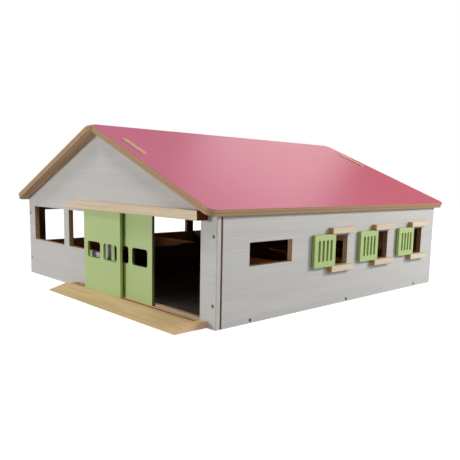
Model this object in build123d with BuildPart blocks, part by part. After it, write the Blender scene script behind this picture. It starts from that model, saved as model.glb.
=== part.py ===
from build123d import *
from math import cos, radians, tan, sin
import os

# A toy barn of thin boards: a gabled house that is open on its left side, a roof of two
# loose halves, two sliding doors in front, three hinged window shutters on the right and low
# stall walls inside. Millimetres. The origin is on the ground under the middle of the house,
# X runs to the right along the front gable, Y runs from the front to the rear and Z is up.

# ---------------------------------------------------------------- house
house_width = 600.0            # over the two long walls
house_depth = 600.0            # over the two gables
board = 9.0                    # walls, floor and stall boards
wall_height = 158.5            # from the ground to the foot of the roof slope
roof_pitch = 22.5              # degrees
corner_break = 1.0             # sanded front edges of the gables
joint_bevel = 1.8              # bevels of the V line where the front gable meets a wall
wall_top_gap = 0.1             # from a long wall's top to the foot of the slope

# ---------------------------------------------------------------- roof
roof_board = 10.0
roof_seat = 0.1                # from a loose half to the slope it lies on
ridge_gap = 0.3                # from the middle to the lower edge of each half
eave_overhang = 7.0            # past the long wall, along the slope
rake_overhang = 21.5           # past the gables
roof_corner_radius = 12.0
roof_edge_break = 0.6
tab_start = 66.5               # from the apex to the gable's tab, along the slope
tab_length = 66.0
tab_proud = 1.0                # above the top of the roof
tab_corner_radius = 1.5
tab_clearance = 0.45           # all round, in the roof's slot

# ---------------------------------------------------------------- openings of the front gable
gable_corner = 28.0            # from the left corner to the first window
gable_window_gap = 20.5
doorway_left_jamb = 27.5       # between the second window and the doorway
doorway_width = 228.5
doorway_pillar = 33.5          # from the doorway to the right corner
doorway_step = 2.0             # from the floor up to the doorway's sill
doorway_height = 141.0
gable_window_bottom = 74.0
gable_window_height = 69.0

# ---------------------------------------------------------------- openings of the long walls
stall_pitch = 127.0            # of the stalls along the right wall
stall_count = 3
rear_stall_depth = 125.0       # from the last divider's middle to the rear gable
stall_window_width = 46.0
stall_window_bottom = 67.0
stall_window_height = 49.5
lobby_window_width = 92.0
lobby_window_bottom = 83.0
lobby_window_height = 34.0
paddock_bottom = 68.0
paddock_height = 66.5
paddock_end_post = 22.0
paddock_post = 21.2
paddock_post_pitch = 164.0
rear_paddock_width = 125.0

# ---------------------------------------------------------------- stall walls
aisle_width = 151.0            # between the two stall fronts
stall_height = 59.0            # above the floor
left_front_setback = 71.0      # from the front gable to the left stall front
gate_length = 151.0            # lower stretch at the left stall front's near end
gate_step = 3.5
tenon_length = 30.0
tenon_inset = 36.0             # from a board's end to its tenon
tenon_gap = 0.5                # from the tenon's end to the underside of the floor
tenon_clearance = 0.2

# ---------------------------------------------------------------- sliding doors and their rail
door_width = 118.4
door_board = 4.5
door_window_width = 42.5
door_window_height = 28.0
door_window_bar = 10.5         # between a door's two windows
door_window_bottom = 66.8
door_window_radius = 5.0
door_window_shift = 1.2        # of both windows towards the other door, when both are shut
door_lift = 0.3                # above the bottom of the ramp's groove
front_door_middle = 22.1       # where the doors stand at rest
rear_door_middle = 99.1
track_right = 281.0            # right end of rail and ramp
track_clearance = 0.35         # on each side of a door
track_rib = 3.4                # between the two grooves
groove_left = -84.0
groove_right = 270.0
rail_left = -88.7
rail_bottom = 149.3
rail_height = 13.6
rail_lip = 5.7                 # in front of the front groove
rail_groove_depth = 7.5
rail_grip = 5.0                # how far a door reaches up into the rail
rail_edge_break = 0.6

# ---------------------------------------------------------------- ramp
ramp_left = -92.0
ramp_reach = 56.0              # from the gable to the toe
ramp_flat = 23.5
ramp_height = 10.0
ramp_toe = 1.2
ramp_groove_depth = 4.0

# ---------------------------------------------------------------- shutters and their bars
shutter_width = 54.3
shutter_board = 5.6
shutter_standoff = 1.75        # from the wall to the shutter's back
shutter_gap = 0.3              # above the sill and below the lintel
louvre_count = 4
louvre_width = 5.6
louvre_height = 35.0
louvre_pitch = 10.4
louvre_margin = 9.0            # from the free edge to the first louvre
bar_depth = 10.0               # lintels and sills
bar_length = 63.0
bar_height = 9.8
bar_edge_break = 0.6
lintel_rise = 3.8              # from the window's top to the lintel
pin_radius = 1.5
pin_offset = 0.3               # from the window's near edge to the pin
pin_inset = 3.0                # from the shutter's hinge edge to the pin
pin_depth = 8.0                # into the bar and into the shutter
pin_sides = 12
pin_clearance = 0.06           # running fit in the shutter
pin_end_gap = 0.2
press_clearance = 0.01         # round pins and screws where they hold

# ---------------------------------------------------------------- screws
screw_length = 22.0            # under the head
screw_radius = 1.6
screw_sides = 12
screw_head_radius = 2.6
screw_head_sides = 16
screw_head_height = 2.0
screw_head_clearance = 0.1
screw_sink = 0.5               # below the board's face
screw_key_radius = 1.5         # hexagon recess
screw_key_depth = 1.2
pilot_gap = 1.0
gable_screw_inset = 6.6        # from the long walls' outer faces
gable_screw_heights = (33.0, 128.0)
base_screw_inset = 57.3        # from the inner faces of the gables
base_screw_shift = 2.0         # of the middle one, to the rear

# ---------------------------------------------------------------- derived sizes and places
slope = radians(roof_pitch)
half_width = house_width / 2
half_depth = house_depth / 2
inner_half_width = half_width - board
inner_half_depth = half_depth - board
ridge_height = wall_height + half_width * tan(slope)
slab_length = half_width / cos(slope) + eave_overhang - ridge_gap
slab_width = house_depth + 2 * rake_overhang
tab_middle = tab_start + tab_length / 2
tab_height = roof_seat + roof_board + tab_proud

gable_window_width = (house_width - gable_corner - gable_window_gap - doorway_left_jamb
                      - doorway_width - doorway_pillar) / 2
first_window_middle = -half_width + gable_corner + gable_window_width / 2
second_window_middle = first_window_middle + gable_window_width + gable_window_gap
gable_window_middle = gable_window_bottom + gable_window_height / 2
doorway_middle = half_width - doorway_pillar - doorway_width / 2
doorway_sill = board + doorway_step

last_divider = inner_half_depth - rear_stall_depth
right_dividers = [last_divider - step * stall_pitch for step in reversed(range(stall_count))]
stall_windows = [divider + stall_pitch / 2 for divider in right_dividers]
stall_window_middle = stall_window_bottom + stall_window_height / 2
lobby_window_place = (right_dividers[0] - board / 2 - inner_half_depth) / 2
lobby_window_middle = lobby_window_bottom + lobby_window_height / 2
rear_post = inner_half_depth - paddock_end_post - rear_paddock_width - paddock_post / 2
paddock_posts = [rear_post - paddock_post_pitch, rear_post]
left_dividers = [post + paddock_post / 2 + board / 2 for post in paddock_posts]

stall_top = board + stall_height
stall_front_outer = aisle_width / 2 + board
stall_front_middle = aisle_width / 2 + board / 2
left_front_end = left_front_setback - inner_half_depth
right_front_end = right_dividers[0] - board / 2
divider_length = inner_half_width - stall_front_outer
divider_middle = stall_front_outer + divider_length / 2

groove_width = door_board + 2 * track_clearance
rear_track = -half_depth - groove_width / 2
front_track = rear_track - groove_width - track_rib
rail_depth = 2 * groove_width + track_rib + rail_lip
groove_length = groove_right - groove_left
groove_middle = (groove_left + groove_right) / 2
door_bottom = ramp_height - ramp_groove_depth + door_lift
door_height = rail_bottom + rail_grip - door_bottom

lintel_bottom = stall_window_bottom + stall_window_height + lintel_rise
sill_top = stall_window_bottom
shutter_height = lintel_bottom - sill_top - 2 * shutter_gap
shutter_middle = (lintel_bottom + sill_top) / 2
pin_line = half_width + shutter_standoff + shutter_board / 2
pin_bore_radius = (pin_radius + pin_clearance) / cos(radians(180 / pin_sides))
louvre_shift = louvre_margin + louvre_width / 2 + (louvre_count - 1) * louvre_pitch / 2

screw_hole_radius = screw_radius + press_clearance
screw_bore_depth = screw_sink + screw_head_height
pilot_depth = screw_bore_depth + screw_length - board + pilot_gap


# ---------------------------------------------------------------- places of pins and screws
def pin_place(window):
    """Y of the hinge pins beside the stall window with this middle."""
    return window - stall_window_width / 2 - pin_offset


def gable_screw_places(way):
    """Planes on the front (-1) or rear (1) gable's face, over the ends of the long walls."""
    return [Plane(origin=(side * (half_width - gable_screw_inset), way * half_depth, height),
                  x_dir=(1, 0, 0), z_dir=(0, way, 0))
            for side in (-1, 1) for height in gable_screw_heights]


def base_screw_places(side):
    """Planes on the left (-1) or right (1) long wall's face, over the edge of the floor."""
    end = inner_half_depth - base_screw_inset
    return [Plane(origin=(side * half_width, place, board / 2),
                  x_dir=(0, 1, 0), z_dir=(side, 0, 0))
            for place in (-end, base_screw_shift, end)]


def tenon_places(end):
    """Y of the tenons of a stall front that runs from this end to the rear gable."""
    margin = tenon_inset + tenon_length / 2
    return (end + margin, inner_half_depth - margin)


# ---------------------------------------------------------------- shared shapes
def gable_profile():
    """Outline of a gable with a roof tab on each slope, X to the right and Y up."""
    with BuildSketch() as tab:
        with Locations((0, -board)):
            Rectangle(tab_length, board + tab_height, align=(Align.CENTER, Align.MIN))
        fillet(tab.vertices().group_by(Axis.Y)[-1], tab_corner_radius)
    with BuildSketch() as profile:
        with BuildLine():
            Polyline((-half_width, 0), (half_width, 0), (half_width, wall_height),
                     (0, ridge_height), (-half_width, wall_height), close=True)
        make_face()
        for side in (-1, 1):
            middle = (side * tab_middle * cos(slope), ridge_height - tab_middle * sin(slope), 0)
            with Locations(Location(middle, (0, 0, -side * roof_pitch))):
                add(tab.sketch)
    return profile.sketch


def gable_corners(piece, way):
    """A gable's two upright edges on the face that looks to the front (-1) or rear (1)."""
    pick = 0 if way < 0 else -1
    ends = piece.edges().filter_by(Axis.Z).group_by(Axis.X)
    return ends[0].group_by(Axis.Y)[pick] + ends[-1].group_by(Axis.Y)[pick]


def front_corner(piece, side):
    """A long wall's upright edge at its front end, on the left (-1) or right (1) face."""
    pick = 0 if side < 0 else -1
    return piece.edges().filter_by(Axis.Z).group_by(Axis.Y)[0].sort_by(Axis.X)[pick]


def stall_front_profile(end, gate):
    """Side view of a stall front with its tenons, Y to the rear as X, and Z as Y."""
    length = inner_half_depth - end
    with BuildSketch() as profile:
        with Locations((end, board)):
            Rectangle(length, stall_height, align=(Align.MIN, Align.MIN))
        with Locations(*[(place, tenon_gap) for place in tenon_places(end)]):
            Rectangle(tenon_length, board, align=(Align.CENTER, Align.MIN))
        if gate > 0:
            with Locations((end, stall_top)):
                Rectangle(gate, gate_step, align=(Align.MIN, Align.MAX), mode=Mode.SUBTRACT)
    return profile.sketch


os.makedirs("parts", exist_ok=True)

# ---------------------------------------------------------------- one screw and its bores
# They point down from the XY plane. They are small and many, so they have few flat sides.
with BuildPart() as screw:
    with BuildSketch():
        RegularPolygon(screw_head_radius, screw_head_sides)
    extrude(amount=-screw_head_height)
    with BuildSketch(Plane.XY.offset(-screw_head_height)):
        RegularPolygon(screw_radius, screw_sides)
    extrude(amount=-screw_length)
    with BuildSketch():
        RegularPolygon(screw_key_radius, 6)
    extrude(amount=-screw_key_depth, mode=Mode.SUBTRACT)

with BuildPart() as screw_bore:
    with BuildSketch():
        RegularPolygon(screw_head_radius + screw_head_clearance, screw_head_sides)
    extrude(amount=-screw_bore_depth)
    with BuildSketch():
        RegularPolygon(screw_hole_radius, screw_sides)
    extrude(amount=-board)

with BuildPart() as screw_pilot:
    with BuildSketch(Plane.XY.offset(-board)):
        RegularPolygon(screw_hole_radius, screw_sides)
    extrude(amount=-pilot_depth)

# ---------------------------------------------------------------- floor
# One board between the four walls, with a mortise for each tenon of the stall walls.
with BuildPart() as base_floor:
    with BuildSketch():
        Rectangle(2 * inner_half_width, 2 * inner_half_depth)
        for side, end in ((-1, left_front_end), (1, right_front_end)):
            with Locations(*[(side * stall_front_middle, place) for place in tenon_places(end)]):
                Rectangle(board + 2 * tenon_clearance, tenon_length + 2 * tenon_clearance,
                          mode=Mode.SUBTRACT)
        for side, dividers in ((-1, left_dividers), (1, right_dividers)):
            with Locations(*[(side * divider_middle, place) for place in dividers]):
                Rectangle(tenon_length + 2 * tenon_clearance, board + 2 * tenon_clearance,
                          mode=Mode.SUBTRACT)
    extrude(amount=board)
    with Locations(*base_screw_places(-1), *base_screw_places(1)):
        add(screw_pilot.part, mode=Mode.SUBTRACT)
base_floor.part.label = "base_floor"
export_step(base_floor.part, "parts/base_floor.step")

# ---------------------------------------------------------------- gables
# Both gables carry two tabs that pass up through the slots of the roof halves. The front
# one has two windows and the doorway.
with BuildPart() as front_gable:
    with BuildSketch(Plane.XZ.offset(half_depth)):
        add(gable_profile())
        with Locations((first_window_middle, gable_window_middle),
                       (second_window_middle, gable_window_middle)):
            Rectangle(gable_window_width, gable_window_height, mode=Mode.SUBTRACT)
        with Locations((doorway_middle, doorway_sill)):
            Rectangle(doorway_width, doorway_height, align=(Align.CENTER, Align.MIN),
                      mode=Mode.SUBTRACT)
    extrude(amount=-board)
    chamfer(gable_corners(front_gable, -1), corner_break)
    chamfer(gable_corners(front_gable, 1), joint_bevel)
    with Locations(*gable_screw_places(-1)):
        add(screw_bore.part, mode=Mode.SUBTRACT)
front_gable.part.label = "front_gable"
export_step(front_gable.part, "parts/front_gable.step")

with BuildPart() as rear_gable:
    with BuildSketch(Plane.XZ.offset(-inner_half_depth)):
        add(gable_profile())
    extrude(amount=-board)
    chamfer(gable_corners(rear_gable, 1), corner_break)
    with Locations(*gable_screw_places(1)):
        add(screw_bore.part, mode=Mode.SUBTRACT)
rear_gable.part.label = "rear_gable"
export_step(rear_gable.part, "parts/rear_gable.step")

# ---------------------------------------------------------------- long walls
# They stand between the gables. The right one has a wide window beside the doorway and a
# window for each stall, and the left one is open above a low wall, between square posts.
with BuildPart() as right_wall:
    with BuildSketch(Plane.YZ.offset(inner_half_width)):
        Rectangle(2 * inner_half_depth, wall_height - wall_top_gap,
                  align=(Align.CENTER, Align.MIN))
        with Locations((lobby_window_place, lobby_window_middle)):
            Rectangle(lobby_window_width, lobby_window_height, mode=Mode.SUBTRACT)
        with Locations(*[(window, stall_window_middle) for window in stall_windows]):
            Rectangle(stall_window_width, stall_window_height, mode=Mode.SUBTRACT)
    extrude(amount=board)
    chamfer(front_corner(right_wall, 1), joint_bevel)
    with Locations(*base_screw_places(1)):
        add(screw_bore.part, mode=Mode.SUBTRACT)
    with Locations(*[place for way in (-1, 1) for place in gable_screw_places(way)
                     if place.origin.X > 0]):
        add(screw_pilot.part, mode=Mode.SUBTRACT)
right_wall.part.label = "right_wall"
export_step(right_wall.part, "parts/right_wall.step")

paddock_edges = [-inner_half_depth + paddock_end_post, inner_half_depth - paddock_end_post]
for post in paddock_posts:
    paddock_edges += [post - paddock_post / 2, post + paddock_post / 2]
paddock_edges.sort()
with BuildPart() as left_wall:
    with BuildSketch(Plane.YZ.offset(-half_width)):
        Rectangle(2 * inner_half_depth, wall_height - wall_top_gap,
                  align=(Align.CENTER, Align.MIN))
        for near, far in zip(paddock_edges[::2], paddock_edges[1::2]):
            with Locations((near, paddock_bottom)):
                Rectangle(far - near, paddock_height, align=(Align.MIN, Align.MIN),
                          mode=Mode.SUBTRACT)
    extrude(amount=board)
    chamfer(front_corner(left_wall, -1), joint_bevel)
    with Locations(*base_screw_places(-1)):
        add(screw_bore.part, mode=Mode.SUBTRACT)
    with Locations(*[place for way in (-1, 1) for place in gable_screw_places(way)
                     if place.origin.X < 0]):
        add(screw_pilot.part, mode=Mode.SUBTRACT)
left_wall.part.label = "left_wall"
export_step(left_wall.part, "parts/left_wall.step")

# ---------------------------------------------------------------- roof halves
# Each lies on the slopes of both gables, is held by their tabs and lifts off along them.
for name, side in (("roof_left", -1), ("roof_right", 1)):
    apex = Vector(0, 0, ridge_height)
    normal = Vector(side * sin(slope), 0, cos(slope))
    down = Vector(side * cos(slope), 0, -sin(slope))
    with BuildPart() as roof_half:
        with BuildSketch(Plane(origin=apex + normal * roof_seat, x_dir=down, z_dir=normal)) as slab:
            with Locations((ridge_gap, 0)):
                Rectangle(slab_length, slab_width, align=(Align.MIN, Align.CENTER))
            fillet(slab.vertices(), roof_corner_radius)
            with GridLocations(0, 2 * (half_depth - board / 2), 1, 2):
                with Locations((tab_middle, 0)):
                    Rectangle(tab_length + 2 * tab_clearance, board + 2 * tab_clearance,
                              mode=Mode.SUBTRACT)
        extrude(amount=roof_board)
        chamfer(roof_half.faces().sort_by(Axis(apex, normal))[-1].outer_wire().edges(),
                roof_edge_break)
    roof_half.part.label = name
    export_step(roof_half.part, f"parts/{name}.step")

# ---------------------------------------------------------------- stall walls
# Low boards on both sides of the aisle, and dividers from them to the long walls. Their
# tenons stand in the floor's mortises.
for name, side, end, gate in (("left_stall_front", -1, left_front_end, gate_length),
                              ("right_stall_front", 1, right_front_end, 0)):
    with BuildPart() as stall_front:
        with BuildSketch(Plane.YZ.offset(side * stall_front_middle)):
            add(stall_front_profile(end, gate))
        extrude(amount=board / 2, both=True)
    stall_front.part.label = name
    export_step(stall_front.part, f"parts/{name}.step")

for row, side, dividers in (("left", -1, left_dividers), ("right", 1, right_dividers)):
    for number, place in enumerate(dividers, start=1):
        with BuildPart() as divider:
            with BuildSketch(Plane.XZ.offset(-place)):
                with Locations((side * divider_middle, board)):
                    Rectangle(divider_length, stall_height, align=(Align.CENTER, Align.MIN))
                with Locations((side * divider_middle, tenon_gap)):
                    Rectangle(tenon_length, board, align=(Align.CENTER, Align.MIN))
            extrude(amount=board / 2, both=True)
        divider.part.label = f"{row}_divider_{number}"
        export_step(divider.part, f"parts/{row}_divider_{number}.step")

# ---------------------------------------------------------------- rail and ramp
# Both have two grooves one behind the other, and the gable closes the rear one. The doors
# hang in the rail's deep grooves and run in the ramp's shallow ones.
with BuildPart() as door_rail:
    with BuildSketch(Plane.YZ.offset(rail_left)):
        with Locations((-half_depth, rail_bottom)):
            Rectangle(rail_depth, rail_height, align=(Align.MAX, Align.MIN))
    extrude(amount=track_right - rail_left)
    chamfer(door_rail.edges().filter_by(Axis.X).group_by(Axis.Y)[0], rail_edge_break)
    with BuildSketch(Plane.XY.offset(rail_bottom)):
        with Locations((groove_middle, rear_track), (groove_middle, front_track)):
            Rectangle(groove_length, groove_width)
    extrude(amount=rail_groove_depth, mode=Mode.SUBTRACT)
door_rail.part.label = "door_rail"
export_step(door_rail.part, "parts/door_rail.step")

with BuildPart() as ramp:
    with BuildSketch(Plane.YZ.offset(ramp_left)):
        with BuildLine():
            Polyline((-half_depth, 0), (-half_depth, ramp_height),
                     (-half_depth - ramp_flat, ramp_height), (-half_depth - ramp_reach, ramp_toe),
                     (-half_depth - ramp_reach, 0), close=True)
        make_face()
    extrude(amount=track_right - ramp_left)
    with BuildSketch(Plane.XY.offset(ramp_height)):
        with Locations((groove_middle, rear_track), (groove_middle, front_track)):
            Rectangle(groove_length, groove_width)
    extrude(amount=-ramp_groove_depth, mode=Mode.SUBTRACT)
ramp.part.label = "ramp"
export_step(ramp.part, "parts/ramp.step")

# ---------------------------------------------------------------- sliding doors
for name, middle, track, way in (("front_door", front_door_middle, front_track, 1),
                                 ("rear_door", rear_door_middle, rear_track, -1)):
    windows = (middle + way * door_window_shift, door_window_bottom + door_window_height / 2)
    with BuildPart() as door:
        with BuildSketch(Plane.XZ.offset(-track)):
            with Locations((middle, door_bottom)):
                Rectangle(door_width, door_height, align=(Align.CENTER, Align.MIN))
            with Locations(windows):
                with GridLocations(door_window_width + door_window_bar, 0, 2, 1):
                    RectangleRounded(door_window_width, door_window_height, door_window_radius,
                                     mode=Mode.SUBTRACT)
        extrude(amount=door_board / 2, both=True)
    door.part.label = name
    export_step(door.part, f"parts/{name}.step")

# ---------------------------------------------------------------- shutters and their bars
# A lintel and a sill at each stall window hold two pins, on which the shutter swings. At
# rest the shutters are folded back against the wall.
for number, window in enumerate(stall_windows, start=1):
    hinge = pin_place(window)
    free_edge = hinge + pin_inset - shutter_width
    with BuildPart() as shutter:
        with BuildSketch(Plane.YZ.offset(half_width + shutter_standoff)):
            with Locations((free_edge, shutter_middle)):
                Rectangle(shutter_width, shutter_height, align=(Align.MIN, Align.CENTER))
            with Locations((free_edge + louvre_shift, shutter_middle)):
                with GridLocations(louvre_pitch, 0, louvre_count, 1):
                    SlotOverall(louvre_height, louvre_width, rotation=90, mode=Mode.SUBTRACT)
        extrude(amount=shutter_board)
        for way in (-1, 1):
            end = Plane(origin=(pin_line, hinge, shutter_middle + way * shutter_height / 2),
                        z_dir=(0, 0, way))
            with BuildSketch(end):
                RegularPolygon(pin_bore_radius, pin_sides)
            extrude(amount=-pin_depth - pin_end_gap, mode=Mode.SUBTRACT)
    shutter.part.label = f"shutter_{number}"
    export_step(shutter.part, f"parts/shutter_{number}.step")

    for name, way, height in (("lintel", 1, lintel_bottom), ("sill", -1, sill_top)):
        with BuildPart() as bar:
            with BuildSketch(Plane.YZ.offset(half_width)):
                with Locations((window, height + way * bar_height / 2)):
                    Rectangle(bar_length, bar_height)
            extrude(amount=bar_depth)
            chamfer(bar.faces().sort_by(Axis.X)[-1].edges(), bar_edge_break)
            with BuildSketch(Plane(origin=(pin_line, hinge, height), z_dir=(0, 0, way))):
                RegularPolygon(pin_radius + press_clearance, pin_sides)
            extrude(amount=pin_depth, mode=Mode.SUBTRACT)
        bar.part.label = f"{name}_{number}"
        export_step(bar.part, f"parts/{name}_{number}.step")

with BuildPart() as hinge_pins:
    for window in stall_windows:
        for way, height in ((1, lintel_bottom), (-1, sill_top)):
            end = Plane(origin=(pin_line, pin_place(window), height + way * pin_depth),
                        z_dir=(0, 0, way))
            with BuildSketch(end):
                RegularPolygon(pin_radius, pin_sides)
            extrude(amount=-2 * pin_depth - shutter_gap)
hinge_pins.part.label = "hinge_pins"
export_step(hinge_pins.part, "parts/hinge_pins.step")

# ---------------------------------------------------------------- screws
# Their heads lie a little below the boards' faces, in the counterbores that they fit.
for name, places in (("gable_screws", gable_screw_places(-1) + gable_screw_places(1)),
                     ("base_screws", base_screw_places(-1) + base_screw_places(1))):
    with BuildPart() as screws:
        with Locations(*[place.offset(-screw_sink) for place in places]):
            add(screw.part)
    screws.part.label = name
    export_step(screws.part, f"parts/{name}.step")
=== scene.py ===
import math

import bpy
from mathutils import Matrix, Vector

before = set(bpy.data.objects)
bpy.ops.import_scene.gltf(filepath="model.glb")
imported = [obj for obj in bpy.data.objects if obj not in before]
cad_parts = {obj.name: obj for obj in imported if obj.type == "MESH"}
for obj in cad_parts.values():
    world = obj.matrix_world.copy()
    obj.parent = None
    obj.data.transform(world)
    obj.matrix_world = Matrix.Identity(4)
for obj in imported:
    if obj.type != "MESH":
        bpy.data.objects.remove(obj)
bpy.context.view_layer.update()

# ------------------------------------------------------------------ camera
# It stands low in front of the right corner of the barn, so that the front gable and the
# right wall both show. The lens is a little long, and the shift holds the picture's frame.
CAMERA_PLACE = (0.83307, -0.77852, 0.20225)
CAMERA_YAW = 47.3945               # degrees, to the left of the view along +Y
CAMERA_DOWN = 8.029
CAMERA_ROLL = 1.0616
CAMERA_NEAREST = 0.01
PICTURE_SIZE = 460
PICTURE_MIDDLE = (223.179, 257.471)
FOCAL_PIXELS = 542.518
SENSOR = 36.0

camera_data = bpy.data.cameras.new("camera")
camera_data.sensor_fit = "HORIZONTAL"
camera_data.sensor_width = SENSOR
camera_data.lens = FOCAL_PIXELS / PICTURE_SIZE * SENSOR
camera_data.shift_x = 0.5 - PICTURE_MIDDLE[0] / PICTURE_SIZE
camera_data.shift_y = PICTURE_MIDDLE[1] / PICTURE_SIZE - 0.5
camera_data.clip_start = CAMERA_NEAREST
camera = bpy.data.objects.new("camera", camera_data)
bpy.context.scene.collection.objects.link(camera)
camera.matrix_world = (Matrix.Translation(CAMERA_PLACE)
                       @ Matrix.Rotation(math.radians(CAMERA_YAW), 4, "Z")
                       @ Matrix.Rotation(math.radians(90 - CAMERA_DOWN), 4, "X")
                       @ Matrix.Rotation(math.radians(CAMERA_ROLL), 4, "Z"))
bpy.context.scene.camera = camera

# ------------------------------------------------------------------ table, sky and lamps
# A wide table under a white sky, with soft lamps round the barn. Seen directly, the table
# and the sky are close to pure white, also where the lamps don't reach.
SKY_LIGHT = 0.08                   # what the sky gives the barn, where 1 is white
TABLE_COLOR = (0.48, 0.48, 0.48, 1)
TABLE_HALF = 4.0
TABLE_LIFT_NEAR = 0.80             # white added for what looks at the table, near the barn
TABLE_LIFT_FAR = 0.97
TABLE_NEAR = 0.5
TABLE_FAR = 2.0
LAMPS = (                          # name, place, side in metres, watts
    ("right_lamp", (1.6, 1.2, 0.9), 0.7, 30.0),
    ("corner_lamp", (2.1, -0.6, 1.45), 0.5, 11.5),
    ("front_lamp", (-0.85, -2.8, 0.35), 0.5, 36.5),
    ("top_lamp", (0.05, -1.4, 2.5), 0.7, 25.0),
    ("rear_lamp", (-1.0, 1.56, 1.12), 0.8, 10.5),
)


def add_node(tree, kind, inputs=None, **settings):
    """A shader node with its settings, whose inputs take numbers, colours or other sockets."""
    fresh = tree.nodes.new(kind)
    for name, value in settings.items():
        setattr(fresh, name, value)
    for name, value in (inputs or {}).items():
        if isinstance(value, bpy.types.NodeSocket):
            tree.links.new(value, fresh.inputs[name])
        else:
            fresh.inputs[name].default_value = value
    return fresh


def add_math(tree, operation, first, second=0.0):
    """The result of one sum of numbers or sockets."""
    return add_node(tree, "ShaderNodeMath", {0: first, 1: second}, operation=operation).outputs[0]


def seen_directly(tree):
    """1 for rays from the camera, from glossy surfaces and through glass, and 0 for light."""
    path = add_node(tree, "ShaderNodeLightPath")
    direct = add_math(tree, "MAXIMUM", path.outputs["Is Camera Ray"], path.outputs["Is Glossy Ray"])
    return add_math(tree, "MAXIMUM", direct, path.outputs["Is Transmission Ray"])


world = bpy.data.worlds.new("white_sky")
world.use_nodes = True
sky = world.node_tree
background = sky.nodes["Background"]
background.inputs["Color"].default_value = (1, 1, 1, 1)
sky_strength = add_node(sky, "ShaderNodeMapRange",
                        {"Value": seen_directly(sky), "To Min": SKY_LIGHT, "To Max": 1.0})
sky.links.new(sky_strength.outputs["Result"], background.inputs["Strength"])
bpy.context.scene.world = world

table_material = bpy.data.materials.new("white_table")
table_material.use_nodes = True
table_tree = table_material.node_tree
table_tree.nodes.clear()
table_top = add_node(table_tree, "ShaderNodeBsdfDiffuse", {"Color": TABLE_COLOR})
table_place = add_node(table_tree, "ShaderNodeTexCoord")
table_reach = add_node(table_tree, "ShaderNodeVectorMath",
                       {0: table_place.outputs["Object"]}, operation="LENGTH")
table_lift = add_node(table_tree, "ShaderNodeMapRange",
                      {"Value": table_reach.outputs["Value"], "From Min": TABLE_NEAR,
                       "From Max": TABLE_FAR, "To Min": TABLE_LIFT_NEAR,
                       "To Max": TABLE_LIFT_FAR})
table_glow = add_node(table_tree, "ShaderNodeEmission",
                      {"Strength": add_math(table_tree, "MULTIPLY", seen_directly(table_tree),
                                            table_lift.outputs["Result"])})
table_sum = add_node(table_tree, "ShaderNodeAddShader",
                     {0: table_top.outputs[0], 1: table_glow.outputs[0]})
add_node(table_tree, "ShaderNodeOutputMaterial", {"Surface": table_sum.outputs[0]})

bpy.ops.object.select_all(action="DESELECT")
bpy.ops.mesh.primitive_plane_add(size=2 * TABLE_HALF, location=(0, 0, 0))
table = bpy.context.object
table.name = "white_table"
table.data.materials.append(table_material)

for lamp_name, lamp_place, lamp_side, lamp_watts in LAMPS:
    lamp_data = bpy.data.lights.new(lamp_name, "AREA")
    lamp_data.shape = "SQUARE"
    lamp_data.size = lamp_side
    lamp_data.energy = lamp_watts
    lamp = bpy.data.objects.new(lamp_name, lamp_data)
    lamp.location = lamp_place
    lamp.rotation_euler = (-Vector(lamp_place)).to_track_quat("-Z", "Y").to_euler()
    bpy.context.scene.collection.objects.link(lamp)

# ------------------------------------------------------------------ walls
# Boards of brown plywood with a thin white wash outside, through which fine level grain shows.
# Inner faces and cut edges are bare, and the edges are lighter on the gables than on the long
# walls. The left wall is low, with open bays: its veneer is painted lighter below them, as light
# falling in, and its posts and cut edges are painted nearly black, as shade. Screws join the
# four walls.
MM = 0.001
HALF_HOUSE = 300 * MM
BOARD = 9 * MM
BOARD_PLIES = 5
LOW_WALL_TOP = 68 * MM
WASH_COLOR = (0.545, 0.540, 0.525, 1)
WASH_THIN = (0.480, 0.468, 0.445, 1)
VENEER_LIGHT = (0.400, 0.190, 0.075, 1)
VENEER_DARK = (0.190, 0.078, 0.027, 1)
# painted light below the left wall's open bays, and painted shade on its posts and cut edges
LIT_LOW_LIGHT = (0.800, 0.450, 0.240, 1)
LIT_LOW_DARK = (0.560, 0.270, 0.130, 1)
SHADED_POST_LIGHT = (0.130, 0.052, 0.024, 1)
SHADED_POST_DARK = (0.070, 0.028, 0.013, 1)
GABLE_PLY_LIGHT = (0.640, 0.400, 0.200, 1)
GABLE_PLY_DARK = (0.360, 0.190, 0.080, 1)
LONG_PLY_LIGHT = (0.360, 0.190, 0.080, 1)
LONG_PLY_DARK = (0.150, 0.068, 0.028, 1)
BEVEL_COLOR = (0.200, 0.115, 0.070, 1)
WASH_GLOSS = (0.62, 0.35)          # roughness and specular level, as in each gloss below
WASH_BUMP = (0.25, 0.2 * MM)       # strength and depth, as in each bump below
FINE_GRAIN = (9.0, 520.0)          # noise cells per metre along and across, as in each grain below
BROAD_GRAIN = (2.2, 70.0)
BROAD_SHIFT = (3.1, 1.7, 0.4)
FINE_SHARE = 0.75
BROAD_SHARE = 0.45
WASH_STEP = (0.38, 0.78)           # where a mask goes from 0 to 1, as in each step below
VENEER_STEP = (0.42, 0.74)
PLY_STEP = (0.30, 0.70)
PLY_SHARE = 0.6
PLY_FIBRES = 0.55
PLY_WAVES = 60.0                   # cells per metre of the noise that bends the layers
PLY_WAVE_SHARE = 0.3
BOARD_FIBRES = 300.0               # cells per metre of the fibres in a cut edge
GABLE_WASHED = (0.5, 0.6)          # how far out a face looks to be washed, here bevels too
LONG_WASHED = (0.8, 0.9)
FACING = (0.6, 0.8)
FACING_SQUARE = (0.8, 0.9)
BEVEL_STEP = (0.3, 0.4)
END_DEPTHS = (0.4 * MM, 0.1 * MM)  # in from a board's end, where its washed end face starts
POST_SHADE_FADE = 0.5 * MM
NOISE_ROUGHNESS = 0.6
MIX_SHARE, MIX_FIRST, MIX_SECOND, MIX_RESULT = 0, 6, 7, 2     # a Mix node's colour sockets


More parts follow.
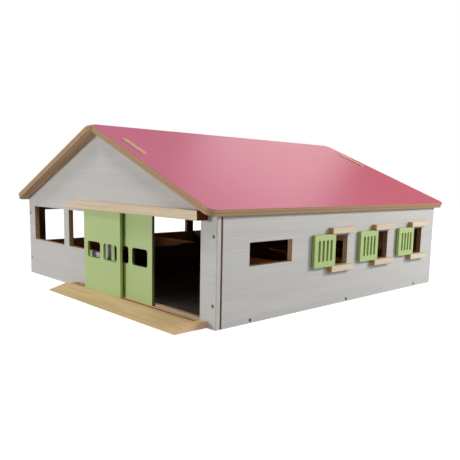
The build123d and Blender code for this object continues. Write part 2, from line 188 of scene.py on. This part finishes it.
def start_finish(name, roughness, specular):
    """A material, its tree, its shader, and its surface's place and normal."""
    finish = bpy.data.materials.new(name)
    finish.use_nodes = True
    tree = finish.node_tree
    shader = tree.nodes["Principled BSDF"]
    shader.inputs["Roughness"].default_value = roughness
    shader.inputs["Specular IOR Level"].default_value = specular
    surface = add_node(tree, "ShaderNodeTexCoord")
    return finish, tree, shader, surface.outputs["Object"], surface.outputs["Normal"]


def add_mix(tree, share, first, second):
    """A colour between two others."""
    mixer = add_node(tree, "ShaderNodeMix",
                     {MIX_SHARE: share, MIX_FIRST: first, MIX_SECOND: second}, data_type="RGBA")
    return mixer.outputs[MIX_RESULT]


def add_steps(tree, value, low, high):
    """0 below low, 1 above high and a soft step between them."""
    step = add_node(tree, "ShaderNodeMapRange",
                    {"Value": value, "From Min": low, "From Max": high},
                    interpolation_type="SMOOTHSTEP")
    return step.outputs["Result"]


def add_sum(tree, first, first_share, second, second_share):
    """Two numbers added, each times its share."""
    return add_math(tree, "ADD", add_math(tree, "MULTIPLY", first, first_share),
                    add_math(tree, "MULTIPLY", second, second_share))


def add_axis(tree, vector, axis):
    """One number of a place or a normal."""
    return add_node(tree, "ShaderNodeSeparateXYZ", {"Vector": vector}).outputs[axis]


def add_dot(tree, vector, direction):
    """How far a place or a normal goes along a direction."""
    dot = add_node(tree, "ShaderNodeVectorMath", {0: vector, 1: direction},
                   operation="DOT_PRODUCT")
    return dot.outputs["Value"]


def opposite(direction):
    """The same direction, the other way."""
    return [-value for value in direction]


def add_facing(tree, normal, direction, step=FACING):
    """1 where the surface looks along the direction."""
    return add_steps(tree, add_dot(tree, normal, direction), *step)


def add_facing_axis(tree, normal, axis):
    """1 where the surface looks squarely along an axis, either way."""
    return add_steps(tree, add_math(tree, "ABSOLUTE", add_axis(tree, normal, axis)), *FACING_SQUARE)


def add_noise(tree, place, cells, detail, shift=(0, 0, 0)):
    """Noise with its number of cells per metre on each axis."""
    mapping = add_node(tree, "ShaderNodeMapping",
                       {"Vector": place, "Scale": cells, "Location": shift})
    noise = add_node(tree, "ShaderNodeTexNoise",
                     {"Vector": mapping.outputs[0], "Scale": 1.0, "Detail": detail,
                      "Roughness": NOISE_ROUGHNESS})
    return noise.outputs["Fac"]


def even(cells):
    """As many noise cells on every axis."""
    return (cells, cells, cells)


def drawn_out(along, cells_along, cells_across):
    """Noise cells for grain that runs along one axis."""
    return [cells_along if axis == along else cells_across for axis in range(3)]


def add_bump(tree, shader, height, strength, depth):
    """Fine relief on the shader."""
    bump = add_node(tree, "ShaderNodeBump",
                    {"Height": height, "Strength": strength, "Distance": depth})
    tree.links.new(bump.outputs[0], shader.inputs["Normal"])


def add_plies(tree, place, depth, thickness, count, light, dark, fibre_cells):
    """The layers on a plywood board's cut edge, dark and light in turn."""
    turn = add_math(tree, "MULTIPLY", depth, count / thickness)
    waves = add_noise(tree, place, even(PLY_WAVES), detail=2.0)
    bent = add_math(tree, "ADD", turn, add_math(tree, "MULTIPLY", waves, PLY_WAVE_SHARE))
    layers = add_steps(tree, add_math(tree, "PINGPONG", bent, 1.0), *PLY_STEP)
    fibres = add_noise(tree, place, even(fibre_cells), detail=4.0)
    return add_mix(tree, add_sum(tree, layers, PLY_SHARE, fibres, PLY_FIBRES), dark, light)


def add_veneer(tree, place, grain, paint_bay_shading):
    """Bare veneer, on the left wall painted lighter below open bays as light and darker on the
    posts as shade.
    """
    share = add_steps(tree, grain, *VENEER_STEP)
    if not paint_bay_shading:
        return add_mix(tree, share, VENEER_DARK, VENEER_LIGHT)
    post_shade = add_steps(tree, add_axis(tree, place, 2), LOW_WALL_TOP - POST_SHADE_FADE,
                      LOW_WALL_TOP + POST_SHADE_FADE)
    return add_mix(tree, post_shade, add_mix(tree, share, LIT_LOW_DARK, LIT_LOW_LIGHT),
                   add_mix(tree, share, SHADED_POST_DARK, SHADED_POST_LIGHT))


def wall_finish(name, outward, washed, ply_light, ply_dark, paint_bay_shading=False):
    """Wash with level grain outside and on the ends, veneer inside and plywood at the cuts."""
    finish, tree, shader, place, normal = start_finish(name, *WASH_GLOSS)
    along = 0 if outward[1] else 1
    fine = add_noise(tree, place, drawn_out(along, *FINE_GRAIN), detail=8.0)
    broad = add_noise(tree, place, drawn_out(along, *BROAD_GRAIN), detail=4.0, shift=BROAD_SHIFT)
    grain = add_sum(tree, fine, FINE_SHARE, broad, BROAD_SHARE)
    wash = add_mix(tree, add_steps(tree, grain, *WASH_STEP), WASH_THIN, WASH_COLOR)
    veneer = add_veneer(tree, place, grain, paint_bay_shading)
    depth = add_math(tree, "SUBTRACT", add_dot(tree, place, outward), HALF_HOUSE - BOARD)
    plies = add_plies(tree, place, depth, BOARD, BOARD_PLIES, ply_light, ply_dark, BOARD_FIBRES)

    inside = add_facing(tree, normal, opposite(outward), FACING_SQUARE)
    slant = add_math(tree, "MULTIPLY", add_axis(tree, normal, 0), add_axis(tree, normal, 1))
    bevel = add_steps(tree, add_math(tree, "ABSOLUTE", slant), *BEVEL_STEP)
    bare = add_mix(tree, bevel, add_mix(tree, inside, plies, veneer), BEVEL_COLOR)

    outside = add_facing(tree, normal, outward, washed)
    reach = add_math(tree, "ABSOLUTE", add_axis(tree, place, along))
    near_end = add_steps(tree, reach, *[HALF_HOUSE - depth_in for depth_in in END_DEPTHS])
    end_face = add_math(tree, "MULTIPLY", near_end, add_facing_axis(tree, normal, along))
    painted = add_math(tree, "MAXIMUM", outside, end_face)
    tree.links.new(add_mix(tree, painted, bare, wash), shader.inputs["Base Color"])
    add_bump(tree, shader, fine, *WASH_BUMP)
    return finish


def dress(finish, *names):
    """Gives CAD nodes one finish."""
    for name in names:
        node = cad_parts[name]
        node.data.materials.clear()
        node.data.materials.append(finish)


dress(wall_finish("washed_front", (0, -1, 0), GABLE_WASHED, GABLE_PLY_LIGHT, GABLE_PLY_DARK),
      "front_gable")
dress(wall_finish("washed_rear", (0, 1, 0), GABLE_WASHED, GABLE_PLY_LIGHT, GABLE_PLY_DARK),
      "rear_gable")
dress(wall_finish("washed_right", (1, 0, 0), LONG_WASHED, LONG_PLY_LIGHT, LONG_PLY_DARK),
      "right_wall")
# the left wall's cut edges take the painted post shade
dress(wall_finish("washed_left", (-1, 0, 0), LONG_WASHED, SHADED_POST_LIGHT, SHADED_POST_DARK, paint_bay_shading=True),
      "left_wall")

# ------------------------------------------------------------------ roof halves
# Plywood with a satin pink laminate on top, painted cooler and lighter towards the front as a
# reflection, bare sanded layers round the edge, and veneer below with its grain down the slope,
# painted lighter as light reaching it. Each half lies loose on the walls, held in place by the
# gables' tabs, and lifts off.
# painted reflection: cooler and lighter laminate towards the front
SHEEN_PINK_FRONT = (0.550, 0.142, 0.220, 1)
PINK_REAR = (0.500, 0.098, 0.138, 1)
ROOF_PLY_LIGHT = (0.470, 0.300, 0.168, 1)
ROOF_PLY_DARK = (0.310, 0.190, 0.107, 1)
# painted light: the veneer below is made lighter, as light reaching the underside
LIT_UNDER_LIGHT = (0.760, 0.510, 0.330, 1)
LIT_UNDER_DARK = (0.440, 0.280, 0.160, 1)
ROOF_GLOSS = (0.5, 0.0)
ROOF_COAT = 0.2
ROOF_COAT_ROUGHNESS = 0.33
ROOF_BOARD = 10 * MM
ROOF_SEAT = 0.1 * MM
ROOF_PLIES = 4
ROOF_PITCH = math.radians(22.5)
ROOF_FIBRES = 260.0
UNDER_GRAIN = (5.0, 320.0, 5.0)    # cells per metre on x, y and z
UNDER_STEP = (0.35, 0.70)
LAMINATE_FACING = (0.90, 0.95)
WALL_HEIGHT = 158.5 * MM


def roof_finish(name, side):
    """Laminate above, layers at the edges and veneer below, by the slope of one half."""
    finish, tree, shader, place, normal = start_finish(name, *ROOF_GLOSS)
    shader.inputs["Coat Weight"].default_value = ROOF_COAT
    shader.inputs["Coat Roughness"].default_value = ROOF_COAT_ROUGHNESS
    upward = (side * math.sin(ROOF_PITCH), 0, math.cos(ROOF_PITCH))
    gable_top = (WALL_HEIGHT + HALF_HOUSE * math.tan(ROOF_PITCH)) * math.cos(ROOF_PITCH)
    depth = add_math(tree, "SUBTRACT", add_dot(tree, place, upward), gable_top + ROOF_SEAT)
    plies = add_plies(tree, place, depth, ROOF_BOARD, ROOF_PLIES, ROOF_PLY_LIGHT, ROOF_PLY_DARK,
                      ROOF_FIBRES)
    sheen_fade_to_rear = add_steps(tree, add_axis(tree, place, 1), -HALF_HOUSE, HALF_HOUSE)
    laminate = add_mix(tree, sheen_fade_to_rear, SHEEN_PINK_FRONT, PINK_REAR)
    grain = add_noise(tree, place, UNDER_GRAIN, detail=6.0)
    lit_below = add_mix(tree, add_steps(tree, grain, *UNDER_STEP), LIT_UNDER_DARK, LIT_UNDER_LIGHT)
    bare = add_mix(tree, add_facing(tree, normal, opposite(upward)), plies, lit_below)
    on_top = add_facing(tree, normal, upward, LAMINATE_FACING)
    tree.links.new(add_mix(tree, on_top, bare, laminate), shader.inputs["Base Color"])
    return finish


dress(roof_finish("laminate_right", 1), "roof_right")
dress(roof_finish("laminate_left", -1), "roof_left")

# ------------------------------------------------------------------ sliding doors and shutters
# Thin fibre boards sprayed a soft yellow green, which is deeper on cut edges. The rear door's
# edges are painted nearly black, as the shade they stand in. The doors run in grooves of rail and
# ramp, and the shutters turn on pins.
GREEN = (0.405, 0.510, 0.208, 1)
GREEN_EDGE = (0.340, 0.480, 0.075, 1)
# painted shade: the rear door's edges are nearly black
GREEN_EDGE_REAR_SHADE = (0.085, 0.095, 0.015, 1)
SHUTTER_EDGE = (0.360, 0.510, 0.130, 1)
PAINT_GLOSS = (0.45, 0.4)
PEEL_BUMP = (0.12, 0.1 * MM)
PEEL_CELLS = 700.0
TONE_CELLS = 9.0
TONE_SHARE = 0.35
TONE_DARKER = 0.86


def paint_finish(name, axis, color, edge):
    """Sprayed paint with a faint orange peel on both faces, and another colour at the cuts."""
    finish, tree, shader, place, normal = start_finish(name, *PAINT_GLOSS)
    outward = [float(number == axis) for number in range(3)]
    on_face = add_math(tree, "MAXIMUM", add_facing(tree, normal, outward),
                       add_facing(tree, normal, opposite(outward)))
    tone = add_noise(tree, place, even(TONE_CELLS), detail=3.0)
    darker = [value * TONE_DARKER for value in color[:3]] + [1]
    face = add_mix(tree, add_math(tree, "MULTIPLY", tone, TONE_SHARE), color, darker)
    tree.links.new(add_mix(tree, on_face, edge, face), shader.inputs["Base Color"])
    add_bump(tree, shader, add_noise(tree, place, even(PEEL_CELLS), detail=2.0), *PEEL_BUMP)
    return finish


dress(paint_finish("front_door_paint", 1, GREEN, GREEN_EDGE), "front_door")
dress(paint_finish("rear_door_paint", 1, GREEN, GREEN_EDGE_REAR_SHADE), "rear_door")
dress(paint_finish("shutter_paint", 0, GREEN, SHUTTER_EDGE),
      *[f"shutter_{number}" for number in (1, 2, 3)])

# ------------------------------------------------------------------ rail, ramp, lintels, sills
# Planed pine strips, bare and sanded, with the grain along them, and glued to the walls. The end
# grain is another colour; on the rail it is painted nearly black, as the shade under the roof, and
# the ramp's grooves are painted an orange brown, as the shade deep inside them.
RAIL_LIGHT = (0.690, 0.570, 0.415, 1)
RAIL_DARK = (0.590, 0.470, 0.330, 1)
# painted shade: the rail's end grain, nearly black as under the roof
RAIL_END_SHADE = (0.105, 0.016, 0.002, 1)
BAR_LIGHT = (0.710, 0.605, 0.460, 1)
BAR_DARK = (0.615, 0.505, 0.370, 1)
BAR_END = (0.560, 0.300, 0.120, 1)
RAMP_LIGHT = (0.710, 0.525, 0.280, 1)
RAMP_DARK = (0.570, 0.405, 0.200, 1)
RAMP_END = (0.720, 0.458, 0.288, 1)
# painted shade: the orange brown deep inside the ramp's grooves
GROOVE_SHADE = (0.480, 0.190, 0.050, 1)
GROOVE_LEFT = -84 * MM
GROOVE_RIGHT = 270 * MM
GROOVES_FRONT = -313.9 * MM
GROOVE_MARGIN = 0.1 * MM
RAMP_HEIGHT = 10 * MM
PINE_GLOSS = (0.55, 0.2)
PINE_BUMP = (0.2, 0.2 * MM)
PINE_RINGS = (6.0, 150.0)
PINE_FIBRES = (18.0, 700.0)
RING_SHARE = 0.7
FIBRE_SHARE = 0.4
PINE_STEP = (0.40, 0.72)


def pine_finish(name, along, light, dark, end, find_groove_shade=None):
    """Bare pine with its grain along one axis, and with painted shade in its grooves."""
    finish, tree, shader, place, normal = start_finish(name, *PINE_GLOSS)
    rings = add_noise(tree, place, drawn_out(along, *PINE_RINGS), detail=4.0)
    fibres = add_noise(tree, place, drawn_out(along, *PINE_FIBRES), detail=6.0)
    grain = add_steps(tree, add_sum(tree, rings, RING_SHARE, fibres, FIBRE_SHARE), *PINE_STEP)
    wood = add_mix(tree, grain, dark, light)
    wood = add_mix(tree, add_facing_axis(tree, normal, along), wood, end)
    if find_groove_shade:
        wood = add_mix(tree, find_groove_shade(tree, place), wood, GROOVE_SHADE)
    tree.links.new(wood, shader.inputs["Base Color"])
    add_bump(tree, shader, fibres, *PINE_BUMP)
    return finish


def ramp_groove_shade(tree, place):
    """1 on the floors and sides of the ramp's two grooves, where shade is painted."""
    x, y, z = [add_axis(tree, place, axis) for axis in range(3)]
    below_top = add_math(tree, "LESS_THAN", z, RAMP_HEIGHT - GROOVE_MARGIN)
    behind_front = add_math(tree, "GREATER_THAN", y, GROOVES_FRONT)
    past_left = add_math(tree, "GREATER_THAN", x, GROOVE_LEFT - GROOVE_MARGIN)
    before_right = add_math(tree, "LESS_THAN", x, GROOVE_RIGHT + GROOVE_MARGIN)
    return add_math(tree, "MULTIPLY", add_math(tree, "MULTIPLY", below_top, behind_front),
                    add_math(tree, "MULTIPLY", past_left, before_right))


dress(pine_finish("pine_rail", 0, RAIL_LIGHT, RAIL_DARK, RAIL_END_SHADE), "door_rail")
dress(pine_finish("pine_bars", 1, BAR_LIGHT, BAR_DARK, BAR_END),
      *[f"{bar}_{number}" for bar in ("lintel", "sill") for number in (1, 2, 3)])
dress(pine_finish("pine_ramp", 0, RAMP_LIGHT, RAMP_DARK, RAMP_END, ramp_groove_shade), "ramp")

# ------------------------------------------------------------------ floor and stall walls
# The floor is stained a matt charcoal, with mortises that the stall walls stand in. Those are
# bare brown veneer; the left dividers are painted dark brown and the left front nearly black, as
# the shade they stand in.
CHARCOAL = (0.034, 0.027, 0.026, 1)
CHARCOAL_LIGHT = (0.058, 0.047, 0.045, 1)
STALL_BROWN = (0.150, 0.056, 0.018, 1)
STALL_BROWN_LIGHT = (0.320, 0.135, 0.045, 1)
# painted shade: the left dividers' dark brown and the left front's near black
STALL_SHADE_BROWN = (0.085, 0.034, 0.014, 1)
STALL_SHADE_BROWN_LIGHT = (0.150, 0.064, 0.028, 1)
STALL_SHADE_BLACK = (0.085, 0.055, 0.040, 1)
STALL_SHADE_BLACK_LIGHT = (0.120, 0.078, 0.056, 1)
FLOOR_GLOSS = (0.5, 0.3)
STALL_GLOSS = (0.6, 0.0)
STALL_GRAIN = (6.0, 220.0)
STALL_STEP = (0.35, 0.70)


def stall_finish(name, along, dark, light, roughness, specular):
    """One colour of board with a faint grain along one axis."""
    finish, tree, shader, place, _ = start_finish(name, roughness, specular)
    grain = add_noise(tree, place, drawn_out(along, *STALL_GRAIN), detail=5.0)
    color = add_mix(tree, add_steps(tree, grain, *STALL_STEP), dark, light)
    tree.links.new(color, shader.inputs["Base Color"])
    return finish


dress(stall_finish("charcoal", 1, CHARCOAL, CHARCOAL_LIGHT, *FLOOR_GLOSS), "base_floor")
dress(stall_finish("stall_front_shade", 1, STALL_SHADE_BLACK, STALL_SHADE_BLACK_LIGHT, *STALL_GLOSS),
      "left_stall_front")
dress(stall_finish("stall_veneer", 1, STALL_BROWN, STALL_BROWN_LIGHT, *STALL_GLOSS),
      "right_stall_front")
dress(stall_finish("left_divider_shade", 0, STALL_SHADE_BROWN, STALL_SHADE_BROWN_LIGHT, *STALL_GLOSS),
      "left_divider_1", "left_divider_2")
dress(stall_finish("right_divider_veneer", 0, STALL_BROWN, STALL_BROWN_LIGHT, *STALL_GLOSS),
      "right_divider_1", "right_divider_2", "right_divider_3")

# ------------------------------------------------------------------ screws and hinge pins
# Zinc plated steel gone dull. The screws hold the gables and the floor to the long walls, and
# the shutters turn on the pins, between their lintels and sills.
ZINC = (0.060, 0.055, 0.050, 1)
ZINC_LIGHT = (0.200, 0.190, 0.180, 1)
ZINC_GLOSS = (0.45, 0.5)
ZINC_CELLS = 400.0


def zinc_finish(name):
    """Dull plated steel with fine spots of dirt."""
    finish, tree, shader, place, _ = start_finish(name, *ZINC_GLOSS)
    shader.inputs["Metallic"].default_value = 1.0
    dirt = add_noise(tree, place, even(ZINC_CELLS), detail=3.0)
    tree.links.new(add_mix(tree, dirt, ZINC, ZINC_LIGHT), shader.inputs["Base Color"])
    return finish


dress(zinc_finish("zinc"), "gable_screws", "base_screws", "hinge_pins")

# ------------------------------------------------------------------ colour view
# Colours show as they are written.
bpy.context.scene.view_settings.view_transform = "Standard"
bpy.context.view_layer.update()
